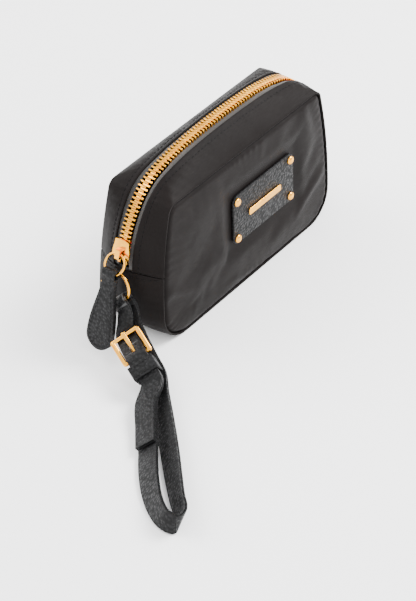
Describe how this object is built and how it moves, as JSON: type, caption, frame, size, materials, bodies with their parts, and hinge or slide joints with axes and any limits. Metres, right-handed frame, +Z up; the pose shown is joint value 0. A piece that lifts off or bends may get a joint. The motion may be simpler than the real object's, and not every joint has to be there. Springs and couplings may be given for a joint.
{
  "type": "zippered pouch",
  "caption": "Box-gusseted fabric pouch with an arched zipper, a riveted plate on the front and a buckled leather wrist strap on its end.",
  "frame": {"origin": "middle of the flat base that the pouch stands on", "axes": "+X along the pouch, away from the wrist strap's end; -Y out of the front with the plate; +Z up"},
  "size_m": [0.2778, 0.1436, 0.1055],
  "materials": {
    "shell_fabric": "dense black nylon twill, slightly sheeny",
    "lining": "plain dark lining cloth",
    "zipper_tape": "matt herringbone tape",
    "leather": "dark grey grained leather, painted edges",
    "brass": "polished gold-coloured plating"
  },
  "bodies": {
    "pouch": {"front_panel": "shell_fabric", "back_panel": "shell_fabric", "zipper_gusset_front": "shell_fabric", "zipper_gusset_back": "shell_fabric", "bottom_gusset": "shell_fabric", "front_lining": "lining", "back_lining": "lining", "gusset_lining_front": "lining", "gusset_lining_back": "lining", "bottom_lining": "lining", "zipper_tape_front": "zipper_tape", "zipper_tape_back": "zipper_tape", "zipper_teeth_front": "brass", "zipper_teeth_back": "brass", "top_stop_front": "brass", "top_stop_back": "brass", "bottom_stop": "brass", "ring_loop": "leather", "name_plate": "leather", "name_bar": "brass", "rivet_1": "brass", "rivet_2": "brass", "rivet_3": "brass", "rivet_4": "brass"},
    "slider": {"zipper_slider": "brass"},
    "pull_ring": {"pull_ring": "brass"},
    "pull_tab": {"pull_tab": "leather"},
    "strap_ring": {"strap_ring": "brass"},
    "strap": {"strap_outer": "leather", "strap_lining": "leather", "buckle_frame": "brass"},
    "prong": {"buckle_prong": "brass"},
    "keeper": {"strap_keeper": "leather"}
  },
  "joints": [
    {"name": "slider_travel", "type": "hinge", "parent": "pouch", "child": "slider", "pos_m": [-0.02636, 0, 0.05027], "axis": [0, 1, 0], "range_deg": [0, 20], "deforming": ["zipper_teeth_front", "zipper_teeth_back"]},
    {"name": "pull_ring_swing", "type": "hinge", "parent": "slider", "child": "pull_ring", "pos_m": [-0.08784, 0, 0.06199], "axis": [0, 1, 0], "range_deg": [0, 60]},
    {"name": "pull_tab_swing", "type": "hinge", "parent": "pull_ring", "child": "pull_tab", "pos_m": [-0.09548, 0, 0.05222], "axis": [0, 1, 0], "range_deg": [0, 25]},
    {"name": "strap_ring_swing", "type": "hinge", "parent": "pouch", "child": "strap_ring", "pos_m": [-0.0897, 0, 0.0502], "axis": [0, 1, 0], "range_deg": [0, 4]},
    {"name": "strap_swing", "type": "hinge", "parent": "strap_ring", "child": "strap", "pos_m": [-0.09284, -0.00705, 0.03542], "axis": [0, 0, 1], "range_deg": [0, 10]},
    {"name": "prong_lift", "type": "hinge", "parent": "strap", "child": "prong", "pos_m": [-0.10823, -0.02836, 0.0167], "axis": [0.7484, -0.469, 0.469], "range_deg": [0, 8]},
    {"name": "keeper_slide", "type": "slide", "parent": "strap", "child": "keeper", "axis": [-0.3054, -0.8713, -0.3841], "range_m": [0, 0.002]}
  ]
}
